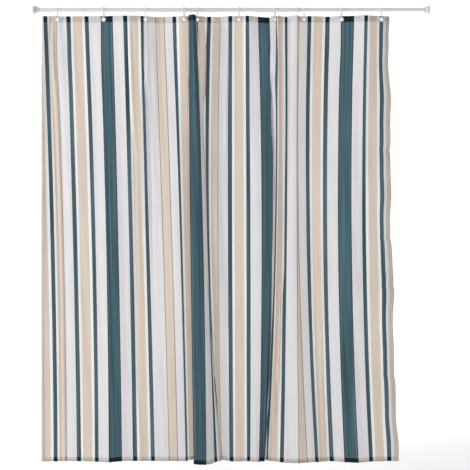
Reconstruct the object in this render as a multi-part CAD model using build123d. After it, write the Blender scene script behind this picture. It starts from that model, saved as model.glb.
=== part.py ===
from build123d import *
import math
import os

os.makedirs("parts", exist_ok=True)

# A shower curtain hung by rings on a telescopic rod that is wedged between two walls.
# Millimetres. +X runs along the rod, +Y points into the bath and +Z points up.
# The origin is the centre of the left wall pad's face, on the rod's axis.

# Overall sizes
wall_to_wall = 1778.0
drop = 2000.0
heading_gap = 29.0  # rod axis down to the curtain's top edge

# Rod tubes, and what slides in or over them
outer_radius = 10.0
outer_wall = 1.0
outer_length = 1183.0
tube_gap = 0.5  # radial, between the two tubes
inner_wall = 0.8
inner_length = 1019.0
slide_gap = 0.1  # radial, for a piece that slides in or over a tube
seat_gap = 0.05  # radial, for a piece pushed onto a tube
collar_wall = 1.0
collar_length = 12.0
collar_lap = 6.0  # how far the collar covers the outer tube

# End caps and wall pads
cap_radius = 21.0
cap_depth = 27.0  # wall to the cap's mouth
cap_rim = 4.0
cap_mouth_wall = 2.6
cap_stand_off = 2.0  # the pad stands this proud of the cap
pad_radius = 18.5
pad_thickness = 4.0
pad_groove_depth = 1.0
pad_groove_width = 1.5
pad_groove_radii = (9.0, 14.0)
cap_web = 4.0  # solid wall between the pad and the tube

# Twist lock inside the outer tube
lock_gap = 0.3  # endwise, between neighbouring lock pieces
bush_length = 31.0
bush_slot = 2.0
spindle_radius = 3.0
spindle_head_radius = 6.0
spindle_head_length = 4.0
spindle_reach = 17.0  # into the plug
plug_length = 20.0
plug_flange = 3.0

# Curtain cloth, with its folded hems
cloth = 0.4
heading_depth = 27.0
heading_layers = 3
side_hem = 30.0
bottom_hem = 20.0
hem_seam = 2.0
pocket = 2.4  # room between the two layers of the bottom hem
weight_height = 8.0
weight_gap = 0.3
free_edge = 137.0  # cloth left of the first eyelet, turned back at its end
turn_back_radius = 15.0
turn_back_reach = 58.0  # straight run from the first eyelet to the turn
right_margin = 39.5
land = 12.0  # half of the flat stretch at each eyelet
fold_radius = 14.0
tightest_fold = 0.22  # fold radius as a share of the gap between two lands

# Eyelets. Their pitch is measured along the cloth.
eyelet_pitch = 211.0
eyelet_drop = 15.0  # top edge down to the eyelet's centre
eyelet_bore = 5.5
eyelet_barrel_wall = 1.5
eyelet_radius = 11.0
eyelet_front_thickness = 1.6
eyelet_back_thickness = 1.4
eyelet_edge = 0.6
hole_gap = 0.2

# Where the rings stand: the first one's place, and each gap as a share of the pitch.
# The folds between them point to the front (-1) or to the back (1).
first_ring = 108.0
ring_gaps = (0.986, 0.891, 0.820, 0.289, 0.882, 0.763, 0.621, 0.796, 0.853)
fold_sides = (1, -1, 1, -1, 1, 1, -1, 1, -1)
right_reserve = 214.0  # rod kept free right of the last ring

# Rings
ring_wire = 2.0
ring_clearance = 0.5  # between the ring and the rod's collar
ring_head = 17.0  # radius of the centre line over the rod
ring_foot = 9.0  # radius of the centre line in the eyelet
ring_play = 0.6  # between the ring and the top of the eyelet
clasp_radius = 3.0
clasp_length = 9.0
clasp_slit = 0.6
ring_yaws = (5, -4, 7, -6, 5, -3, 6, -5, 4, -6)

# Worked out from the sizes above
inner_radius = outer_radius - outer_wall - tube_gap
tube_seat = pad_thickness + cap_web
outer_end = tube_seat + outer_length
inner_start = wall_to_wall - tube_seat - inner_length
collar_radius = outer_radius + collar_wall
collar_start = outer_end - collar_lap
curtain_top = -heading_gap
curtain_bottom = curtain_top - drop
heading_thickness = heading_layers * cloth
hem_thickness = 2 * cloth + pocket
tail_length = free_edge - turn_back_reach - math.pi * turn_back_radius
eyelet_z = curtain_top - eyelet_drop
ring_head_z = collar_radius + ring_clearance + ring_wire - ring_head
ring_foot_z = eyelet_z + eyelet_bore - ring_play - ring_wire + ring_foot


def bar(radius, start, end):
    return extrude(Plane.YZ.offset(start) * Circle(radius), amount=end - start)


def pipe(radius, bore, start, end):
    return extrude(Plane.YZ.offset(start) * (Circle(radius) - Circle(bore)), amount=end - start)


def at_right_wall(piece):
    return Pos(wall_to_wall, 0, 0) * Rot(0, 0, 180) * piece


def end_cap(tube_radius):
    # A flared plastic foot: a recess for the pad on the wall side and a blind socket for the tube.
    bore = tube_radius + seat_gap
    mouth = bore + cap_mouth_wall
    rim_end = cap_stand_off + cap_rim
    waist = ((rim_end + cap_depth) / 2, mouth + (cap_radius - mouth) / 4)
    flare = ThreePointArc((rim_end, cap_radius), waist, (cap_depth, mouth))
    outline = Polyline(
        (cap_depth, mouth),
        (cap_depth, bore),
        (tube_seat, bore),
        (tube_seat, 0),
        (pad_thickness, 0),
        (pad_thickness, pad_radius + slide_gap),
        (cap_stand_off, pad_radius + slide_gap),
        (cap_stand_off, cap_radius),
        (rim_end, cap_radius),
    )
    return revolve(make_face([flare, outline]), axis=Axis.X)


def wall_pad():
    # A rubber disc with two shallow grooves that grip the wall.
    pad = bar(pad_radius, 0, pad_thickness)
    for radius in pad_groove_radii:
        pad -= pipe(radius + pad_groove_width, radius, 0, pad_groove_depth)
    return pad


def outer_tube():
    return pipe(outer_radius, outer_radius - outer_wall, tube_seat, outer_end)


def inner_tube():
    return pipe(inner_radius, inner_radius - inner_wall, inner_start, wall_to_wall - tube_seat)


def rod_collar():
    # A plastic sleeve over the cut edge of the outer tube. Its lip guides the inner tube.
    sleeve = pipe(collar_radius, outer_radius + seat_gap, collar_start, outer_end)
    lip = pipe(collar_radius, inner_radius + slide_gap, outer_end, collar_start + collar_length)
    return sleeve + lip


def spindle_plug():
    flange_start = inner_start - plug_flange
    plug = bar(inner_radius - inner_wall - seat_gap, inner_start, inner_start + plug_length)
    plug += bar(inner_radius, flange_start, inner_start)
    return plug - bar(spindle_radius + seat_gap, flange_start, inner_start + plug_length)


def lock_bush():
    # A split sleeve that spreads against the outer tube when the rod is twisted.
    end = inner_start - plug_flange - lock_gap
    start = end - bush_length
    radius = outer_radius - outer_wall - slide_gap
    slot = Pos((start + end) / 2, 0, radius) * Box(bush_length, bush_slot, 2 * radius)
    return pipe(radius, spindle_radius + slide_gap, start, end) - slot


def lock_spindle():
    head_end = inner_start - plug_flange - 2 * lock_gap - bush_length
    head = bar(spindle_head_radius, head_end - spindle_head_length, head_end)
    return head + bar(spindle_radius, head_end, inner_start + spindle_reach)


def ring_places():
    # The cloth hangs as wide as its gaps say, or closer where the rod is too short for that.
    wanted = eyelet_pitch * sum(ring_gaps)
    room = wall_to_wall - right_reserve - first_ring
    spread = min(1.0, room / wanted)
    places = [first_ring]
    for gap in ring_gaps:
        places.append(places[-1] + gap * spread * eyelet_pitch)
    return places


def curtain_ring(place, yaw):
    # A pear-shaped ring of round plastic, open at its clasp on the bath side.
    lean = (ring_foot - ring_head) / (ring_head_z - ring_foot_z)
    side = math.sqrt(1 - lean**2)
    head_y = ring_head * side
    head_z = ring_head_z + ring_head * lean
    foot_y = ring_foot * side
    foot_z = ring_foot_z + ring_foot * lean
    path = Wire(
        [
            ThreePointArc((0, -foot_y, foot_z), (0, 0, ring_foot_z - ring_foot), (0, foot_y, foot_z)),
            Line((0, foot_y, foot_z), (0, head_y, head_z)),
            ThreePointArc((0, head_y, head_z), (0, 0, ring_head_z + ring_head), (0, -head_y, head_z)),
            Line((0, -head_y, head_z), (0, -foot_y, foot_z)),
        ]
    )
    start = Plane(origin=path @ 0, z_dir=path % 0)
    ring = sweep(start * Circle(ring_wire), path=path)
    leg = Vector(0, head_y - foot_y, head_z - foot_z).normalized()
    middle = Vector(0, (head_y + foot_y) / 2, (head_z + foot_z) / 2)
    clasp = Plane(origin=middle, z_dir=leg)
    ring += clasp * Cylinder(clasp_radius, clasp_length)
    ring -= clasp * Box(4 * clasp_radius, 4 * clasp_radius, clasp_slit)
    return Pos(place, heading_thickness / 2, 0) * Rot(0, 0, yaw) * ring


def across_cloth(radius, start, end):
    # A bar through the heading, along +Y.
    return extrude(Plane.XZ.offset(-start) * Circle(radius), amount=start - end)


def eyelet_front(place):
    barrel = eyelet_bore + eyelet_barrel_wall
    flange = across_cloth(eyelet_radius, -eyelet_front_thickness, 0)
    flange = fillet(flange.edges().group_by(Axis.Y)[0], eyelet_edge)
    eyelet = flange + across_cloth(barrel, 0, heading_thickness + eyelet_back_thickness)
    eyelet -= across_cloth(eyelet_bore, -eyelet_front_thickness, heading_thickness + eyelet_back_thickness)
    return Pos(place, 0, eyelet_z) * eyelet


def eyelet_back(place):
    barrel = eyelet_bore + eyelet_barrel_wall
    end = heading_thickness + eyelet_back_thickness
    flange = across_cloth(eyelet_radius, heading_thickness, end)
    flange = fillet(flange.edges().group_by(Axis.Y)[-1], eyelet_edge)
    return Pos(place, 0, eyelet_z) * (flange - across_cloth(barrel + seat_gap, heading_thickness, end))


def fold_turn(chord, length, radius):
    # The turn in degrees at which a fold of this length closes the gap between two lands.
    low = 0.0
    high = math.pi / 2
    for _ in range(60):
        turn = (low + high) / 2
        reach = 4 * radius * math.sin(turn) + (length - 4 * radius * turn) * math.cos(turn)
        if reach > chord:
            low = turn
        else:
            high = turn
    return math.degrees(turn)


def fold_moves(chord, side):
    length = eyelet_pitch - 2 * land
    radius = min(fold_radius, tightest_fold * chord)
    turn = fold_turn(chord, length, radius)
    flank = length / 2 - 2 * radius * math.radians(turn)
    return [
        ("turn", radius, side * turn),
        ("run", flank, 0),
        ("turn", radius, -2 * side * turn),
        ("run", flank, 0),
        ("turn", radius, side * turn),
    ]


def cloth_moves(places):
    # The curtain's course seen from above, from the turned-back edge to the right edge.
    moves = [("run", tail_length, 0), ("turn", turn_back_radius, 180)]
    reach = turn_back_reach - land
    for left, right, side in zip(places, places[1:], fold_sides):
        moves += [("run", reach + 2 * land if left == places[0] else 2 * land, 0)]
        moves += fold_moves(right - left - 2 * land, side)
    moves += [("run", land + right_margin, 0)]
    return moves


def edges_along(moves, places, shift):
    # The course moved sideways by shift, as lines and arcs.
    place = Vector(places[0] - turn_back_reach + tail_length, 2 * turn_back_radius)
    heading = math.pi
    edges = []

    def left_of(angle):
        return Vector(-math.sin(angle), math.cos(angle))

    for kind, size, turn in moves:
        if kind == "run":
            ahead = Vector(math.cos(heading), math.sin(heading)) * size
            edges.append(Line(place + left_of(heading) * shift, place + ahead + left_of(heading) * shift))
            place += ahead
        else:
            side = math.copysign(1, turn)
            centre = place + left_of(heading) * side * size
            reach = shift - side * size
            angles = [heading + math.radians(turn) * share for share in (0, 0.5, 1)]
            edges.append(ThreePointArc(*[centre + left_of(angle) * reach for angle in angles]))
            heading = angles[2]
            place = centre - left_of(heading) * side * size
    return edges


def band(moves, places, near, far):
    # The strip between two courses: near and far are measured from the cloth's front.
    front = edges_along(moves, places, near)
    back = edges_along(moves, places, far)
    ends = [Line(front[0] @ 0, back[0] @ 0), Line(front[-1] @ 1, back[-1] @ 1)]
    return make_face([*front, *back, *ends])


def raised(face, low, high):
    return extrude(Pos(0, 0, low) * face, amount=high - low)


def side_hems(places, low, high):
    # Each side edge is folded over twice, behind the cloth.
    right = places[-1] + right_margin
    tail_end = places[0] - turn_back_reach + tail_length
    folded = heading_thickness - cloth
    back = cloth + folded / 2
    height = high - low
    middle = (low + high) / 2
    right_hem = Pos(right - side_hem / 2, back, middle) * Box(side_hem, folded, height)
    tail_y = 2 * turn_back_radius - back
    left_hem = Pos(tail_end - side_hem / 2, tail_y, middle) * Box(side_hem, folded, height)
    return right_hem + left_hem


def curtain_panel(moves, places):
    hem_top = curtain_bottom + bottom_hem
    heading_low = curtain_top - heading_depth
    pocket_low = curtain_bottom + cloth
    pocket_high = hem_top - hem_seam
    front = band(moves, places, 0, cloth)
    back = band(moves, places, cloth + pocket, hem_thickness)
    folded = band(moves, places, 0, hem_thickness)
    heading = raised(band(moves, places, 0, heading_thickness), heading_low, curtain_top)
    barrel = eyelet_bore + eyelet_barrel_wall + hole_gap
    for place in places:
        heading -= Pos(place, 0, eyelet_z) * across_cloth(barrel, -cloth, heading_thickness + cloth)
    return (
        heading
        + raised(front, hem_top, heading_low)
        + side_hems(places, hem_top, heading_low)
        + raised(folded, pocket_high, hem_top)
        + raised(front, pocket_low, pocket_high)
        + raised(back, pocket_low, pocket_high)
        + raised(folded, curtain_bottom, pocket_low)
    )


def hem_weight(moves, places):
    # A weighted tape that lies loose in the bottom hem.
    low = curtain_bottom + cloth + weight_gap
    tape = band(moves, places, cloth + weight_gap, cloth + pocket - weight_gap)
    return raised(tape, low, low + weight_height)


places = ring_places()
moves = cloth_moves(places)

parts = {
    "left_wall_pad": wall_pad(),
    "left_end_cap": end_cap(outer_radius),
    "outer_tube": outer_tube(),
    "rod_collar": rod_collar(),
    "lock_bush": lock_bush(),
    "lock_spindle": lock_spindle(),
    "spindle_plug": spindle_plug(),
    "inner_tube": inner_tube(),
    "right_end_cap": at_right_wall(end_cap(inner_radius)),
    "right_wall_pad": at_right_wall(wall_pad()),
    "curtain_panel": curtain_panel(moves, places),
    "hem_weight_tape": hem_weight(moves, places),
}
for number, (place, yaw) in enumerate(zip(places, ring_yaws), start=1):
    parts[f"ring_{number:02d}"] = curtain_ring(place, yaw)
    parts[f"eyelet_front_{number:02d}"] = eyelet_front(place)
    parts[f"eyelet_back_{number:02d}"] = eyelet_back(place)

for name, piece in parts.items():
    export_step(piece, f"parts/{name}.step")
    print(name, len(piece.solids()), round(piece.volume))
print("rings at", [round(place, 1) for place in places])
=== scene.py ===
import math
import bpy
import numpy as np
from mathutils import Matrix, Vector


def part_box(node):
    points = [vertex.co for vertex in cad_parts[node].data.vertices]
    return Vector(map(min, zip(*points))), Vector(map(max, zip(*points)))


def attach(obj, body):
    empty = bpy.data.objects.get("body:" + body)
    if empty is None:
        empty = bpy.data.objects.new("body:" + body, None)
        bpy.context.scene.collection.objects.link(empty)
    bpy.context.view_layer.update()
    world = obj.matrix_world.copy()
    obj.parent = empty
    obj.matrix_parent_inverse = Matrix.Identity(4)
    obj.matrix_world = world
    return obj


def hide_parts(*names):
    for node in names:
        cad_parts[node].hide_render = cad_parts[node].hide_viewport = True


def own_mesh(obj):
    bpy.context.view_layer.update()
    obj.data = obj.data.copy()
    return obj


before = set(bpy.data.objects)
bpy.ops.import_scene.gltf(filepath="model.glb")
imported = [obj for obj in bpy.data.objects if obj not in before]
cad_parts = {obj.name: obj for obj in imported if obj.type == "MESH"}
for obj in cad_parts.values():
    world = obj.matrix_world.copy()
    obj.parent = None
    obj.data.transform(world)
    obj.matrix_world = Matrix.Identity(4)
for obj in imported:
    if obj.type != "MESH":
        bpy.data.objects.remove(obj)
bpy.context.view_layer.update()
mm = 0.001


# Small helpers used by every piece

def linearColour(hexColour):
    channels = [int(hexColour[i:i + 2], 16) / 255 for i in (1, 3, 5)]
    return [c / 12.92 if c <= 0.04045 else ((c + 0.055) / 1.055) ** 2.4 for c in channels] + [1.0]


def addNode(tree, kind, settings=(), links=()):
    # A setting is a socket's value where the node has such a socket, and else the node's own property
    node = tree.nodes.new(kind)
    for name, value in dict(settings).items():
        if isinstance(name, int) or name in node.inputs:
            node.inputs[name].default_value = value
        else:
            setattr(node, name, value)
    for name, source in dict(links).items():
        tree.links.new(source, node.inputs[name])
    return node


def noiseBetween(tree, noise, low, high):
    # The middle of a noise's range, spread between two values
    return addNode(
        tree, "ShaderNodeMapRange", {"From Min": 0.3, "From Max": 0.7, "To Min": low, "To Max": high},
        {"Value": noise.outputs[0]})


def newMaterial(name):
    material = bpy.data.materials.new(name)
    material.use_nodes = True
    material.node_tree.nodes.clear()
    return material, material.node_tree


def addPiece(name, vertices, faces, material):
    mesh = bpy.data.meshes.new(name)
    mesh.from_pydata(vertices.tolist(), [], faces.tolist())
    mesh.materials.append(material)
    mesh.shade_smooth()
    piece = bpy.data.objects.new(name, mesh)
    bpy.context.scene.collection.objects.link(piece)
    return piece


# Camera: level with the middle of the drop, square to the cloth

cameraSet = {"x": 0.906, "y": -5.2, "z": -1.012, "lens": 88.7}
cameraData = bpy.data.cameras.new("camera")
cameraData.lens = cameraSet["lens"]
camera = bpy.data.objects.new("camera", cameraData)
camera.location = (cameraSet["x"], cameraSet["y"], cameraSet["z"])
camera.rotation_euler = (math.radians(90), 0, 0)
bpy.context.scene.collection.objects.link(camera)
bpy.context.scene.camera = camera

# Studio: a pale floor that runs to a lit white wall far behind, soft boxes in front and one wide one overhead

studioSet = {
    "floor": -2.10, "front": -14.0, "wallAt": 9.0, "side": 26.0, "wallTop": 9.0, "wallGlow": 1.12,
    "roomGlow": 0.22,
}
lightSet = {
    "frontLeft": {"at": (-5.2, -3.0, 1.7), "aim": (0.8, 0, -0.4), "size": 1.8, "power": 235},
    "frontRight": {"at": (4.6, -4.8, 0.0), "aim": (0.9, 0, -1.0), "size": 3.2, "power": 20},
    "overFloor": {"at": (0.9, 4.6, 4.6), "aim": (0.9, 4.7, -2.1), "size": 9.0, "power": 520},
}


def addPanel(name, corners, material):
    addPiece(name, np.array(corners, float), np.array([(0, 1, 2, 3)]), material)


def addStudio(studioSet):
    side, floor, wallAt = studioSet["side"], studioSet["floor"], studioSet["wallAt"]
    paper, tree = newMaterial("whiteFloorPaper")
    # Matt coated paper: no gloss, so it stays even from edge to edge
    shader = addNode(tree, "ShaderNodeBsdfDiffuse", {"Color": linearColour("#FAFAFA")})
    addNode(tree, "ShaderNodeOutputMaterial", {}, {"Surface": shader.outputs[0]})
    front = studioSet["front"]
    nearEdge = [(-side, front, floor), (side, front, floor)]
    farEdge = [(side, wallAt, floor), (-side, wallAt, floor)]
    addPanel("floor", nearEdge + farEdge, paper)
    lit, tree = newMaterial("litWallPaper")
    # Paper lit from behind: an even white
    shader = addNode(tree, "ShaderNodeEmission",
                     {"Color": linearColour("#FFFFFF"), "Strength": studioSet["wallGlow"]})
    addNode(tree, "ShaderNodeOutputMaterial", {}, {"Surface": shader.outputs[0]})
    top = studioSet["wallTop"]
    addPanel("litWall", farEdge[::-1] + [(side, wallAt, top), (-side, wallAt, top)], lit)


def addLights(lightSet):
    for name, lamp in lightSet.items():
        data = bpy.data.lights.new(name, "AREA")
        data.size = lamp["size"]
        data.energy = lamp["power"]
        light = bpy.data.objects.new(name, data)
        light.location = lamp["at"]
        aim = Vector(lamp["aim"]) - Vector(lamp["at"])
        light.rotation_euler = aim.to_track_quat("-Z", "Y").to_euler()
        bpy.context.scene.collection.objects.link(light)


addStudio(studioSet)
addLights(lightSet)
world = bpy.data.worlds.new("softRoom")
world.use_nodes = True
world.node_tree.nodes["Background"].inputs["Color"].default_value = linearColour("#FFFFFF")
world.node_tree.nodes["Background"].inputs["Strength"].default_value = studioSet["roomGlow"]
bpy.context.scene.world = world
bpy.context.scene.view_settings.view_transform = "Standard"
print("stage: camera, paper and lights")

# The cloth, seen from above at every height. All sizes in millimetres.
# Each mark is a place along the cloth, with how far right it hangs near the top, half way and near the hem,
# and how far forward (-) or back (+) of the rings it hangs there.

clothSet = {
    "width": 2075.5,
    "drop": 2000.0,
    "topEdge": -29.0,
    "columnStep": 4.2,
    "bodyStep": 13.0,
    "headingRows": 9,
    "bottomRows": 7,
    "heading": 27.0,
    "bottomHem": 20.0,
    "sideHem": 28.0,
    "markHeights": (-101.0, -1044.0, -1995.0),
    "leftSilhouette": 35.0,
    "leftTurn": (12.0, 10.0, 6.0),
    "eyeletsAlong": (137, 348, 559, 750, 981, 1212, 1422, 1660, 1832, 2036),
    "land": 12.0,
    "ringHold": 110.0,
    "layer": 0.6,
    "pocket": 2.6,
    "eyeletDrop": 15.0,
    "eyeletHole": 7.0,
    "rounds": 900,
    "evenAcross": 0.25,
    "evenDown": 0.1,
    "pullSideways": 0.5,
    "pullDeep": 0.05,
}
foldMarks = (
    (79, (57, 87, 101), (0, 0, 0)),
    (132.5, (102, 134, 148), (3, 8, 6)),
    (192, (159, 187, 205), (4, 0, 4)),
    (275.5, (240, 272, 286), (4, 2, -4)),
    (336.5, (300, 328, 340), (0, -10, -16)),
    (397.5, (359, 382, 398), (-8, 0, 6)),
    (458.5, (415, 438, 455), (-20, 8, 10)),
    (542, (490, 512, 535), (-8, 10, 10)),
    (639.5, (565, 598, 627), (24, 10, 8)),
    (697.5, (625, 660, 683), (16, -2, 4)),
    (716.5, (642, 669, 693), (14, 12, 20)),
    (757, (684, 700, 716), (0, 36, 46)),
    (769, (696, 706, 722), (4, 46, 56)),
    (805, (709, 713, 728), (14, 12, 12)),
    (851.5, (699, 706, 720), (-46, -32, -38)),
    (882, (717, 735, 749), (-66, -42, -46)),
    (912.5, (734, 764, 778), (-56, -38, -42)),
    (930, (736, 778, 793), (-42, -28, -36)),
    (981, (738, 778, 824), (0, 18, -2)),
    (1010, (752, 776, 843), (8, 40, 20)),
    (1047.5, (779, 782, 834), (12, 10, 52)),
    (1066.5, (797, 791, 832), (12, -6, 56)),
    (1110.5, (839, 830, 845), (14, -12, 32)),
    (1170, (884, 884, 890), (-4, 6, 2)),
    (1253.5, (962, 967, 969), (-14, 4, 6)),
    (1313.5, (1011, 1026, 1013), (12, -8, -12)),
    (1374.5, (1062, 1074, 1040), (36, 28, 6)),
    (1410, (1074, 1080, 1043), (12, 44, 38)),
    (1435, (1091, 1088, 1051), (-6, 26, 32)),
    (1457, (1097, 1094, 1059), (-20, -2, 16)),
    (1497.5, (1121, 1119, 1096), (10, 22, 0)),
    (1519, (1134, 1131, 1115), (18, 28, -8)),
    (1542, (1150, 1148, 1136), (6, 14, -18)),
    (1594.5, (1184, 1182, 1190), (-36, -30, -26)),
    (1638.5, (1192, 1192, 1228), (4, 6, -12)),
    (1684, (1236, 1235, 1271), (-4, 6, -6)),
    (1767.5, (1320, 1309, 1338), (16, -4, 6)),
    (1828.5, (1381, 1368, 1395), (0, -12, -8)),
    (1889.5, (1438, 1428, 1458), (-14, -26, -22)),
    (1950.5, (1490, 1484, 1516), (-32, -10, 0)),
    (2034, (1561, 1565, 1593), (0, 2, 10)),
    (2075.5, (1600, 1611, 1638), (6, 0, 2)),
)


def atHeight(values, heights, z):
    # A smooth curve through the three heights
    a, b, c = heights
    first = (z - b) * (z - c) / ((a - b) * (a - c))
    second = (z - a) * (z - c) / ((b - a) * (b - c))
    third = (z - a) * (z - b) / ((c - a) * (c - b))
    return values[0] * first + values[1] * second + values[2] * third


def holdLengths(x, y, spacing):
    # Each bit of yarn between two neighbours keeps its length
    count = x.shape[1]
    for start in (0, 1):
        left = slice(start, count - 1, 2)
        right = slice(start + 1, count, 2)
        dx = x[:, right] - x[:, left]
        dy = y[:, right] - y[:, left]
        length = np.maximum(np.hypot(dx, dy), 1e-6)
        shift = 0.5 * (length - spacing) / length
        x[:, left] += dx * shift
        y[:, left] += dy * shift
        x[:, right] -= dx * shift
        y[:, right] -= dy * shift


def hangCloth(clothSet, foldMarks, heights):
    step = clothSet["columnStep"]
    first = foldMarks[0][0]
    along = np.arange(first, clothSet["width"] + step / 2, step)
    along[-1] = clothSet["width"]
    rows = len(heights)
    z = np.array(heights)
    markAlong = np.array([mark[0] for mark in foldMarks])
    markX = np.array([atHeight(mark[1], clothSet["markHeights"], z) for mark in foldMarks]).T
    markY = np.array([atHeight(mark[2], clothSet["markHeights"], z) for mark in foldMarks]).T
    markAt = np.array([np.abs(along - place).argmin() for place in markAlong])
    x = np.array([np.interp(along, markAlong, markX[row]) for row in range(rows)])
    y = np.array([np.interp(along, markAlong, markY[row]) for row in range(rows)])
    depth = np.maximum(clothSet["topEdge"] - clothSet["heading"] - z, 0)
    hold = np.exp(-((depth / clothSet["ringHold"]) ** 2))[:, None]
    lands = []
    for number, place in enumerate(clothSet["eyeletsAlong"], start=1):
        low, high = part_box(f"eyelet_front_{number:02d}")
        centre = (low[0] + high[0]) / 2 / mm
        at = np.where(np.abs(along - place) <= clothSet["land"])[0]
        lands.append((at, centre + along[at] - place))
    for turn in range(clothSet["rounds"]):
        for field in (x, y):
            field[:, 1:-1] += clothSet["evenAcross"] * ((field[:, :-2] + field[:, 2:]) / 2 - field[:, 1:-1])
            field[1:-1] += clothSet["evenDown"] * ((field[:-2] + field[2:]) / 2 - field[1:-1])
        x[:, markAt] += clothSet["pullSideways"] * (markX - x[:, markAt])
        y[:, markAt] += clothSet["pullDeep"] * (markY - y[:, markAt])
        for at, goal in lands:
            x[:, at] += hold * (goal[None, :] - x[:, at])
            y[:, at] -= hold * y[:, at]
        x[:, 0], y[:, 0] = markX[:, 0], 0
        holdLengths(x, y, step)
        holdLengths(x, y, step)
    for at, goal in lands:
        x[:, at] += hold * (goal[None, :] - x[:, at])
        y[:, at] -= hold * y[:, at]
    return along, x, y


def turnLeftEdge(clothSet, firstAlong, firstX, heights):
    # Left of the first mark the cloth runs to its left end, turns back in a half circle and runs right again
    step = clothSet["columnStep"]
    count = int(firstAlong // step)
    along = firstAlong - step * np.arange(count, 0, -1)
    along[0] = 0.0
    radius = atHeight(clothSet["leftTurn"], clothSet["markHeights"], np.array(heights))[:, None]
    run = firstX[:, None] - clothSet["leftSilhouette"] - radius
    gone = (firstAlong - along)[None, :] - run
    angle = np.clip(gone / radius, 0, math.pi)
    beyond = np.maximum(gone - math.pi * radius, 0)
    x = np.where(gone < 0, firstX[:, None] - (gone + run), 0)
    turned = clothSet["leftSilhouette"] + radius - radius * np.sin(angle) + beyond
    x = np.where(gone < 0, x, turned)
    y = np.where(gone < 0, 0, radius - radius * np.cos(angle))
    return along, x, y


heading = clothSet["heading"]
topEdge = clothSet["topEdge"]
hemEdge = topEdge - clothSet["drop"]
headingHeights = np.linspace(topEdge, topEdge - heading, clothSet["headingRows"])
bodyCount = round((clothSet["drop"] - heading - clothSet["bottomHem"]) / clothSet["bodyStep"])
bodyHeights = np.linspace(topEdge - heading, hemEdge + clothSet["bottomHem"], bodyCount + 1)
bottomHeights = np.linspace(hemEdge + clothSet["bottomHem"], hemEdge, clothSet["bottomRows"])
heights = np.concatenate([headingHeights, bodyHeights[1:], bottomHeights[1:]])
along, hungX, hungY = hangCloth(clothSet, foldMarks, heights)
leftAlong, leftX, leftY = turnLeftEdge(clothSet, along[0], hungX[:, 0], heights)
along = np.concatenate([leftAlong, along])
hungX = np.concatenate([leftX, hungX], axis=1)
hungY = np.concatenate([leftY, hungY], axis=1)
print("cloth: hung in", hungX.shape, "points, y", round(hungY.min()), "to", round(hungY.max()))

# Between the rings the top edge sags a little, and the forward pleats hang a little lower at the hem

sagSet = {"top": 0.07, "topReach": 220.0, "pleatDrop": 0.16, "hemReach": 500.0}
depths = (topEdge - heights)[:, None]
hungZ = np.repeat(heights[:, None], len(along), axis=1)
hungZ -= sagSet["top"] * np.maximum(-hungY, 0) * np.exp(-depths / sagSet["topReach"])
nearHem = np.exp(-(heights[:, None] - hemEdge) / sagSet["hemReach"])
hungZ += sagSet["pleatDrop"] * np.minimum(hungY, 0) * nearHem

wrinkleSet = {
    "seed": 7, "waves": 9, "height": 1.1, "across": (38.0, 120.0), "down": (260.0, 900.0),
    "puckerReach": 90.0, "puckerWidth": 4.0, "puckerDepth": 4.6,
    "sway": ((74.0, 2.1, 0.0, 0.4), (131.0, 2, 1.3, 0.7), (217.0, 2, 0.4, 0.8)),
    "fade": 60.0, "kinkHeights": (-630.0, -1025.0, -1237.0, -1640.0), "kinkDepth": 7.0, "kinkReach": 15.0,
}


def wrinkleCloth(wrinkleSet):
    # Faint long ripples all over, and a right hem that its stitching has drawn up, with a few sharp kinks
    draw = np.random.default_rng(wrinkleSet["seed"])
    z = heights[:, None]
    s = along[None, :]
    ripple = np.zeros_like(hungX)
    for wave in range(wrinkleSet["waves"]):
        across = draw.uniform(*wrinkleSet["across"])
        down = draw.uniform(*wrinkleSet["down"])
        phase = draw.uniform(0, 2 * math.pi)
        swell = np.sin(z / down * 2 + draw.uniform(0, 6) + s / 700)
        ripple += np.sin(2 * math.pi * (s / across + z / down * 0.35) + phase) * swell
    fromTop = np.clip((topEdge - heading - z) / wrinkleSet["fade"], 0, 1)
    fromLeft = np.clip((s - foldMarks[0][0]) / wrinkleSet["fade"], 0, 1)
    rippleDepth = wrinkleSet["height"] * ripple * fromTop * fromLeft / math.sqrt(wrinkleSet["waves"]) * 1.4
    pull = np.clip((s - (clothSet["width"] - wrinkleSet["puckerReach"])) / wrinkleSet["puckerReach"], 0, 1)
    pull = pull ** 1.3 * fromTop
    sway = 0
    for down, turns, phase, share in wrinkleSet["sway"]:
        sway = sway + np.sin(z / down * turns + phase) * share
    first, second = (down for down, turns, phase, share in wrinkleSet["sway"][:2])
    gather = np.abs(np.sin(z / first * 1.7 + 0.5)) + 0.8 * np.abs(np.sin(z / second * 2.3 + s / 60))
    kinks = sum(np.exp(-np.abs(z - kink) / wrinkleSet["kinkReach"]) for kink in wrinkleSet["kinkHeights"])
    shiftX = pull * wrinkleSet["puckerWidth"] * (sway - kinks)
    pucker = wrinkleSet["puckerDepth"] * (gather - 0.9) + wrinkleSet["kinkDepth"] * kinks
    shiftY = rippleDepth + pull * pucker
    return shiftX, shiftY


shiftX, shiftY = wrinkleCloth(wrinkleSet)
hungX += shiftX
hungY += shiftY
tangentX = np.gradient(hungX, axis=1)
tangentY = np.gradient(hungY, axis=1)
tangentLength = np.maximum(np.hypot(tangentX, tangentY), 1e-6)
backX = -tangentY / tangentLength
backY = tangentX / tangentLength


def layerPoints(rows, columns, offset):
    # Points of one layer, offset towards the cloth's back, in metres
    x = hungX[rows][:, columns] + backX[rows][:, columns] * offset
    y = hungY[rows][:, columns] + backY[rows][:, columns] * offset
    z = hungZ[rows][:, columns]
    return np.stack([x, y, z], axis=-1) * mm


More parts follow.
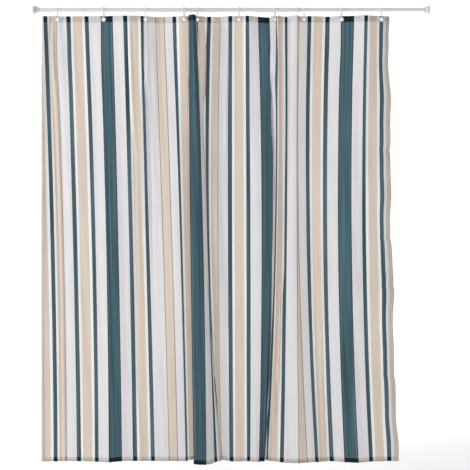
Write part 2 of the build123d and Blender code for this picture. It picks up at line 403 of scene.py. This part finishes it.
rowCount, columnCount = hungX.shape
topBack = list(range(len(headingHeights) - 1, 0, -1))
bottomBack = [rowCount - 1 - i for i in range(1, len(bottomHeights))]
rowOf = np.array(topBack + list(range(rowCount)) + bottomBack)
rowIsBack = np.array([1.0] * len(topBack) + [0.0] * rowCount + [1.0] * len(bottomBack))
sideCount = round(clothSet["sideHem"] / clothSet["columnStep"])
leftBack = list(range(sideCount, 0, -1))
rightBack = [columnCount - 1 - i for i in range(1, sideCount + 1)]
columnOf = np.array(leftBack + list(range(columnCount)) + rightBack)
columnIsBack = np.array([1.0] * sideCount + [0.0] * columnCount + [1.0] * sideCount)
layer = clothSet["layer"]
pocketShape = np.zeros(len(rowOf))
pocketShape[-len(bottomBack):] = np.sin(np.linspace(0, math.pi, len(bottomBack) + 1)[1:]) * clothSet["pocket"]
layerOffset = layer / 2 + layer * rowIsBack[:, None] + 2 * layer * columnIsBack[None, :]
layerOffset = layerOffset + pocketShape[:, None]
clothPoints = layerPoints(rowOf, columnOf, layerOffset)

# Flat place of every point, for the print and for the eyelet holes
flatAcross = np.concatenate([
    -along[leftBack], along, 2 * along[-1] - along[rightBack]])
flatDown = np.concatenate([
    -(topEdge - heights[topBack]), topEdge - heights, 2 * clothSet["drop"] - (topEdge - heights[bottomBack])])
flatSize = (clothSet["width"] + 2 * clothSet["sideHem"], clothSet["drop"] + heading + clothSet["bottomHem"])


def clothMesh(name, material):
    rows, columns = len(rowOf), len(columnOf)
    index = np.arange(rows * columns).reshape(rows, columns)
    quads = np.stack([index[:-1, :-1], index[1:, :-1], index[1:, 1:], index[:-1, 1:]], axis=-1).reshape(-1, 4)
    keep = np.ones(rows * columns, bool)
    down = np.abs(flatDown)[:, None] - clothSet["eyeletDrop"]
    for place in clothSet["eyeletsAlong"]:
        distance = np.hypot(flatAcross[None, :] - place, down)
        keep &= (distance > clothSet["eyeletHole"]).reshape(-1)
    quads = quads[keep[quads].all(axis=1)]
    used = np.unique(quads)
    renumber = np.full(rows * columns, -1)
    renumber[used] = np.arange(len(used))
    cloth = addPiece(name, clothPoints.reshape(-1, 3)[used], renumber[quads], material)
    u = (flatAcross + clothSet["sideHem"]) / flatSize[0]
    v = 1 - (flatDown + heading) / flatSize[1]
    uv = np.stack(np.meshgrid(u, v), axis=-1).reshape(-1, 2)
    layerUV = cloth.data.uv_layers.new(name="OFBake")
    layerUV.data.foreach_set("uv", uv[quads.reshape(-1)].reshape(-1))
    return cloth


# Printed polyester: a close plain weave, so the eye sees soft matt colour with a faint vertical thread,
# and the white of the room glows through it, least where a hem doubles it.

printSet = {
    "wideTeal": "#4D6B77",
    "tealEdge": "#46555D",
    "greyLine": "#62757B",
    "narrowTeal": "#50666F",
    "white": "#F8F8F9",
    "light": "#ECEAEC",
    "beige": "#E4D5C6",
    "taupe": "#A69F9D",
    "start": 336.5,
    "weave": 1.6,  # half the spacing of the drawn yarns; real ones, some 0.4 mm apart, would not show
    "weaveBump": 0.12,
    "weaveDepth": 0.0002,
    "edgeWander": 0.5,
    "wanderReach": 60.0,
    "glow": 0.34,
    # painted shade and painted light in the doubled hems, given as changes to the print's gamma
    "hemPaintedShade": 0.85,
    "hemPaintedLight": -0.3,
    "darkBelow": 0.2,
    "lightAbove": 0.5,
    "streak": (1 / 3.0, 1 / 160.0, 1.0),
    "streakRange": (0.955, 1.03),
    "cloud": 240.0,
    "cloudRange": (0.97, 1.02),
    "inkBand": (1 / 11.0, 1 / 700.0, 1.0),
    "inkRange": (-0.42, 0.36),
    "inkOnLight": 0.05,
    "roughness": 0.86,
    "sheen": 0.15,
    "sheenRoughness": 0.5,
    "specular": 0.25,
}
wideStripe = (
    (5, "tealEdge"), (3, "greyLine"), (45, "wideTeal"), (3, "greyLine"), (5, "tealEdge"),
)
trio = ((19, "narrowTeal"), (12, "white"), (40.5, "beige"), (12, "white"), (19, "narrowTeal"))
sectionA = wideStripe + ((51.5, "light"),) + trio + (
    (66, "light"), (4, "taupe"), (36, "beige"), (4, "taupe"), (36, "light"),
) + trio + ((51.5, "light"),)
sectionB = wideStripe + ((51.5, "light"),) + trio + (
    (11, "white"), (31, "beige"), (4, "taupe"), (48, "light"),
) + trio + ((51.5, "light"),)


def stripeRamp(tree, section, distance):
    total = sum(width for width, colour in section)
    share = addNode(tree, "ShaderNodeMath", {"operation": "DIVIDE", 1: total}, {0: distance})
    ramp = addNode(tree, "ShaderNodeValToRGB", {}, {"Fac": share.outputs[0]})
    ramp.color_ramp.interpolation = "CONSTANT"
    elements = ramp.color_ramp.elements
    elements.remove(elements[1])
    gone = 0.0
    for number, (width, colour) in enumerate(section):
        element = elements[0] if number == 0 else elements.new(gone / total)
        element.position = gone / total
        element.color = linearColour(printSet[colour])
        gone += width
    return ramp


def printedPolyester():
    material, tree = newMaterial("printedWovenPolyester")
    uv = addNode(tree, "ShaderNodeUVMap", {"uv_map": "OFBake"})
    parts = addNode(tree, "ShaderNodeSeparateXYZ", {}, {0: uv.outputs[0]})
    across = addNode(
        tree, "ShaderNodeMath",
        {"operation": "MULTIPLY_ADD", 1: flatSize[0], 2: -clothSet["sideHem"] - printSet["start"]},
        {0: parts.outputs["X"]})
    down = addNode(tree, "ShaderNodeMath", {"operation": "MULTIPLY", 1: flatSize[1]}, {0: parts.outputs["Y"]})
    place = addNode(tree, "ShaderNodeCombineXYZ", {}, {"X": across.outputs[0], "Y": down.outputs[0]})
    # the printed edges wander by a fraction of a millimetre
    wander = addNode(
        tree, "ShaderNodeTexNoise", {"Scale": 1 / printSet["wanderReach"], "Detail": 2.0},
        {"Vector": place.outputs[0]})
    moved = addNode(
        tree, "ShaderNodeMath",
        {"operation": "MULTIPLY_ADD", 1: printSet["edgeWander"] * 2},
        {0: wander.outputs[0], 2: across.outputs[0]})
    lengthA = sum(width for width, colour in sectionA)
    lengthB = sum(width for width, colour in sectionB)
    repeat = addNode(
        tree, "ShaderNodeMath", {"operation": "FLOORED_MODULO", 1: lengthA + lengthB}, {0: moved.outputs[0]})
    rest = addNode(tree, "ShaderNodeMath", {"operation": "SUBTRACT", 1: lengthA}, {0: repeat.outputs[0]})
    isB = addNode(tree, "ShaderNodeMath", {"operation": "GREATER_THAN", 1: 0.0}, {0: rest.outputs[0]})
    rampA = stripeRamp(tree, sectionA, repeat.outputs[0])
    rampB = stripeRamp(tree, sectionB, rest.outputs[0])
    stripes = addNode(
        tree, "ShaderNodeMix", {"data_type": "RGBA"},
        {0: isB.outputs[0], 6: rampA.outputs[0], 7: rampB.outputs[0]})
    # where a hem doubles the cloth, painted shade darkens the dark print and painted light pales the light
    # print a little
    edges = (
        ("GREATER_THAN", down, clothSet["drop"] + clothSet["bottomHem"] - heading),
        ("LESS_THAN", down, 2 * clothSet["bottomHem"]),
        ("GREATER_THAN", across, clothSet["width"] - clothSet["sideHem"] - printSet["start"]),
        ("LESS_THAN", across, clothSet["sideHem"] - printSet["start"]),
    )
    doubled = None
    for operation, source, limit in edges:
        inside = addNode(tree, "ShaderNodeMath", {"operation": operation, 1: limit}, {0: source.outputs[0]})
        if doubled:
            inside = addNode(
                tree, "ShaderNodeMath", {"operation": "MAXIMUM"},
                {0: inside.outputs[0], 1: doubled.outputs[0]})
        doubled = inside
    grey = addNode(tree, "ShaderNodeRGBToBW", {}, {"Color": stripes.outputs[2]})
    hemPaintedLightAndShade = addNode(
        tree, "ShaderNodeMapRange",
        {"From Min": printSet["darkBelow"], "From Max": printSet["lightAbove"],
         "To Min": printSet["hemPaintedShade"], "To Max": printSet["hemPaintedLight"]},
        {"Value": grey.outputs[0]})
    # painted hem shade and painted hem light: a gamma on the print inside the doubled hems
    hemPaintedGamma = addNode(
        tree, "ShaderNodeMath", {"operation": "MULTIPLY_ADD", 2: 1.0},
        {0: doubled.outputs[0], 1: hemPaintedLightAndShade.outputs[0]})
    stripes = addNode(
        tree, "ShaderNodeGamma", {}, {"Color": stripes.outputs[2], "Gamma": hemPaintedGamma.outputs[0]})
    # single yarns take a little more or less ink: long faint streaks down the cloth
    stretched = addNode(
        tree, "ShaderNodeVectorMath", {"operation": "MULTIPLY", 1: printSet["streak"]},
        {0: place.outputs[0]})
    streaks = addNode(
        tree, "ShaderNodeTexNoise", {"Scale": 1.0, "Detail": 3.0}, {"Vector": stretched.outputs[0]})
    streakValue = noiseBetween(tree, streaks, *printSet["streakRange"])
    # broad, very faint clouds from washing and handling
    clouds = addNode(
        tree, "ShaderNodeTexNoise", {"Scale": 1 / printSet["cloud"], "Detail": 2.0},
        {"Vector": place.outputs[0]})
    cloudValue = noiseBetween(tree, clouds, *printSet["cloudRange"])
    both = addNode(
        tree, "ShaderNodeMath", {"operation": "MULTIPLY"},
        {0: streakValue.outputs[0], 1: cloudValue.outputs[0]})
    # the dark ink lies unevenly, in bands that run down the cloth
    bands = addNode(
        tree, "ShaderNodeVectorMath", {"operation": "MULTIPLY", 1: printSet["inkBand"]},
        {0: place.outputs[0]})
    ink = addNode(tree, "ShaderNodeTexNoise", {"Scale": 1.0, "Detail": 2.0}, {"Vector": bands.outputs[0]})
    inkShare = noiseBetween(tree, ink, *printSet["inkRange"])
    inkMask = addNode(
        tree, "ShaderNodeMapRange",
        {"From Min": printSet["darkBelow"], "From Max": printSet["lightAbove"],
         "To Min": 1.0, "To Max": printSet["inkOnLight"]},
        {"Value": grey.outputs[0]})
    inkValue = addNode(
        tree, "ShaderNodeMath", {"operation": "MULTIPLY_ADD", 2: 1.0},
        {0: inkShare.outputs[0], 1: inkMask.outputs[0]})
    both = addNode(
        tree, "ShaderNodeMath", {"operation": "MULTIPLY"}, {0: both.outputs[0], 1: inkValue.outputs[0]})
    colour = addNode(
        tree, "ShaderNodeVectorMath", {"operation": "SCALE"},
        {0: stripes.outputs[0], "Scale": both.outputs[0]})
    # the weave: two crossing sets of yarns
    pitch = 1 / printSet["weave"]
    fine = addNode(
        tree, "ShaderNodeVectorMath", {"operation": "SCALE", "Scale": pitch / 2}, {0: place.outputs[0]})
    warp = addNode(
        tree, "ShaderNodeTexWave", {"Scale": 1.0 / math.pi, "wave_profile": "SIN", "bands_direction": "X"},
        {"Vector": fine.outputs[0]})
    weft = addNode(
        tree, "ShaderNodeTexWave", {"Scale": 1.0 / math.pi, "wave_profile": "SIN", "bands_direction": "Y"},
        {"Vector": fine.outputs[0]})
    weave = addNode(
        tree, "ShaderNodeMath", {"operation": "ADD"}, {0: warp.outputs["Fac"], 1: weft.outputs["Fac"]})
    bump = addNode(
        tree, "ShaderNodeBump", {"Strength": printSet["weaveBump"], "Distance": printSet["weaveDepth"]},
        {"Height": weave.outputs[0]})
    face = addNode(
        tree, "ShaderNodeBsdfPrincipled",
        {"Roughness": printSet["roughness"], "IOR": 1.5, "Sheen Weight": printSet["sheen"],
         "Sheen Roughness": printSet["sheenRoughness"], "Specular IOR Level": printSet["specular"]},
        {"Base Color": colour.outputs[0], "Normal": bump.outputs[0]})
    through = addNode(
        tree, "ShaderNodeBsdfTranslucent", {}, {"Color": colour.outputs[0], "Normal": bump.outputs[0]})
    mixed = addNode(
        tree, "ShaderNodeMixShader", {0: printSet["glow"]}, {1: face.outputs[0], 2: through.outputs[0]})
    addNode(tree, "ShaderNodeOutputMaterial", {}, {"Surface": mixed.outputs[0]})
    return material


clothMaterial = printedPolyester()
curtain = clothMesh("curtain", clothMaterial)
print("cloth:", len(curtain.data.polygons), "faces")


# Plain materials for the hardware

mouldSet = {"bump": 0.3, "broad": 25, "shade": (0.97, 1.0), "roughShare": (0.85, 1.15)}


def mouldedSurface(name, hexColour, roughness, ior, grain, depth, extra=()):
    # grain is the size in mm of the faint unevenness that the mould or the coat leaves
    material, tree = newMaterial(name)
    position = addNode(tree, "ShaderNodeTexCoord")
    noise = addNode(
        tree, "ShaderNodeTexNoise", {"Scale": 1 / (grain * mm), "Detail": 3.0},
        {"Vector": position.outputs["Object"]})
    bump = addNode(
        tree, "ShaderNodeBump", {"Strength": mouldSet["bump"], "Distance": depth * mm},
        {"Height": noise.outputs[0]})
    broad = addNode(
        tree, "ShaderNodeTexNoise", {"Scale": 1 / (grain * mouldSet["broad"] * mm), "Detail": 2.0},
        {"Vector": position.outputs["Object"]})
    shade = noiseBetween(tree, broad, *mouldSet["shade"])
    colour = addNode(
        tree, "ShaderNodeVectorMath", {"operation": "SCALE", 0: linearColour(hexColour)[:3]},
        {"Scale": shade.outputs[0]})
    rough = noiseBetween(tree, broad, *(roughness * share for share in mouldSet["roughShare"]))
    settings = {"IOR": ior}
    settings.update(dict(extra))
    shader = addNode(
        tree, "ShaderNodeBsdfPrincipled", settings,
        {"Base Color": colour.outputs[0], "Roughness": rough.outputs[0], "Normal": bump.outputs[0]})
    addNode(tree, "ShaderNodeOutputMaterial", {}, {"Surface": shader.outputs[0]})
    return material


# Polypropylene, moulded: milky white with a soft gloss
ringPlastic = mouldedSurface("mouldedPolypropylene", "#F3F3F1", 0.32, 1.49, 1.2, 0.02,
                             {"Subsurface Weight": 0.15, "Subsurface Scale": 0.002})
# ABS, moulded: a whiter, harder gloss
capPlastic = mouldedSurface("mouldedABS", "#ECECEA", 0.28, 1.53, 1.0, 0.02)
# Epoxy enamel sprayed on steel tube: satin gloss with a trace of orange peel
tubeEnamel = mouldedSurface("sprayedEnamel", "#FAFAF9", 0.3, 1.5, 2.0, 0.03,
                            {"Coat Weight": 0.2, "Coat Roughness": 0.2})
# Rubber, pressed: matt grey
padRubber = mouldedSurface("pressedRubber", "#A5A5A5", 0.8, 1.52, 0.6, 0.05)
# Nylon, moulded: creamy and matt
lockNylon = mouldedSurface("mouldedNylon", "#DEDACD", 0.5, 1.53, 0.8, 0.02)
# Steel, zinc plated: dull bright metal
spindleSteel = mouldedSurface("zincPlatedSteel", "#B9BCC0", 0.38, 1.5, 0.4, 0.01, {"Metallic": 1.0})
hardware = {
    "left_wall_pad": padRubber, "right_wall_pad": padRubber,
    "left_end_cap": capPlastic, "right_end_cap": capPlastic, "rod_collar": capPlastic,
    "outer_tube": tubeEnamel, "inner_tube": tubeEnamel,
    "lock_bush": lockNylon, "spindle_plug": lockNylon, "lock_spindle": spindleSteel,
}
for number in range(1, len(clothSet["eyeletsAlong"]) + 1):
    for kind in ("ring", "eyelet_front", "eyelet_back"):
        hardware[f"{kind}_{number:02d}"] = ringPlastic
for node, material in hardware.items():
    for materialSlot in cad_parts[node].material_slots:
        materialSlot.material = material
print("hardware:", len(hardware), "pieces have their materials")

# Weighted tape lying in the bottom hem

tapeSet = {"low": 1.5, "high": 9.5, "near": 1.3, "far": 2.1}


def weightTape():
    # Woven cotton tape over lead beads: dull off-white
    material = mouldedSurface("wovenCottonTape", "#D9D6CF", 0.9, 1.45, 0.9, 0.2)
    columns = np.arange(2, columnCount - 2)
    hemRow = [rowCount - 1]
    loop = []
    for offset, lift in ((tapeSet["near"], "low"), (tapeSet["far"], "low"),
                         (tapeSet["far"], "high"), (tapeSet["near"], "high")):
        points = layerPoints(hemRow, columns, offset)[0]
        points[:, 2] += tapeSet[lift] * mm
        loop.append(points)
    vertices = np.stack(loop, axis=1).reshape(-1, 3)
    faces = []
    for column in range(len(columns) - 1):
        for side in range(4):
            a = column * 4 + side
            b = column * 4 + (side + 1) % 4
            faces.append((a, b, b + 4, a + 4))
    last = (len(columns) - 1) * 4
    faces += [(3, 2, 1, 0), (last, last + 1, last + 2, last + 3)]
    return addPiece("hemWeightTape", vertices, np.array(faces), material)


tape = weightTape()

# Sewing thread: two lines in the heading, two in the bottom hem, one down each side hem, on both faces

threadSet = {
    "pitch": 3.2, "stitch": 2.3, "halfWidth": 0.4,
    "heading": (12.0, 24.0), "bottom": (11.0, 19.0), "side": 25.0, "flange": 11.3,
    "hemLayers": 2.4, "sideLayers": 3,
}


def valueAt(field, rowPlace, columnPlace):
    # field read between its points
    row = np.clip(rowPlace, 0, field.shape[0] - 1.001)
    column = np.clip(columnPlace, 0, field.shape[1] - 1.001)
    r, c = row.astype(int), column.astype(int)
    fr, fc = row - r, column - c
    upper = field[r, c] * (1 - fc) + field[r, c + 1] * fc
    lower = field[r + 1, c] * (1 - fc) + field[r + 1, c + 1] * fc
    return upper * (1 - fr) + lower * fr


def clothPlace(s, z, offset):
    # The point of the hung cloth at s along it and at height z, offset towards its back
    row = np.interp(-z, -heights, np.arange(len(heights)))
    column = np.interp(s, along, np.arange(len(along)))
    x = valueAt(hungX, row, column) + valueAt(backX, row, column) * offset
    y = valueAt(hungY, row, column) + valueAt(backY, row, column) * offset
    return np.stack([x, y, valueAt(hungZ, row, column)], axis=-1)


def stitches(startS, startZ, endS, endZ, offset):
    # One small spindle of thread for each stitch
    a = clothPlace(startS, startZ, offset)
    b = clothPlace(endS, endZ, offset)
    middle = (a + b) / 2
    run = b - a
    run /= np.linalg.norm(run, axis=1)[:, None]
    side = np.cross(run, np.cross(run, np.array([0.0, 1.0, 0.0])))
    side /= np.maximum(np.linalg.norm(side, axis=1), 1e-6)[:, None]
    up = np.cross(run, side)
    side *= threadSet["halfWidth"]
    up *= threadSet["halfWidth"]
    points = np.stack([a, middle + side, middle + up, middle - side, middle - up, b], 1)
    return points.reshape(-1, 3)


def seamThread():
    # Spun polyester thread: matt, drawn darker than the light cloth; the darker grey is partly the thread's
    # own and partly painted shade of the cloth puckered along the stitching
    material = mouldedSurface("spunPolyesterThread", "#A39D98", 0.8, 1.5, 0.5, 0.1)
    pitch, length = threadSet["pitch"], threadSet["stitch"]
    groups = []
    lines = [(topEdge - depth, True) for depth in threadSet["heading"]]
    lines += [(hemEdge + lift, False) for lift in threadSet["bottom"]]
    eyelets = np.array(clothSet["eyeletsAlong"])[:, None]
    hemFar = clothSet["layer"] * threadSet["hemLayers"]
    sideFar = clothSet["layer"] * threadSet["sideLayers"]
    for z, inHeading in lines:
        start = np.arange(3.0, clothSet["width"] - length - 1, pitch)
        if inHeading:
            depth = abs(topEdge - clothSet["eyeletDrop"] - z)
            clear = math.sqrt(max(threadSet["flange"] ** 2 - depth**2, 0)) + length
            start = start[(np.abs(start[None, :] + length / 2 - eyelets) > clear).all(axis=0)]
        level = np.full_like(start, z)
        for offset in (0.0, hemFar):
            groups.append(stitches(start, level, start + length, level, offset))
    top = topEdge - heading
    down = np.arange(top - 2, hemEdge + clothSet["bottomHem"] + 2, -pitch)
    for s in (threadSet["side"], clothSet["width"] - threadSet["side"]):
        place = np.full_like(down, s)
        for offset in (0.0, sideFar):
            groups.append(stitches(place, down, place, down - length, offset))
    vertices = np.concatenate(groups) * mm
    count = len(vertices) // 6
    pattern = [(0, 1, 2), (0, 2, 3), (0, 3, 4), (0, 4, 1), (5, 2, 1), (5, 3, 2), (5, 4, 3), (5, 1, 4)]
    faces = (np.array(pattern)[None] + 6 * np.arange(count)[:, None, None]).reshape(-1, 3)
    print("thread:", count, "stitches")
    return addPiece("seamThread", vertices, faces, material)


thread = seamThread()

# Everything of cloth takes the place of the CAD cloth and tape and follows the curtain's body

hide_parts("curtain_panel")
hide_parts("hem_weight_tape")
for piece in (curtain, tape, thread):
    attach(piece, "curtain")
    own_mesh(piece)
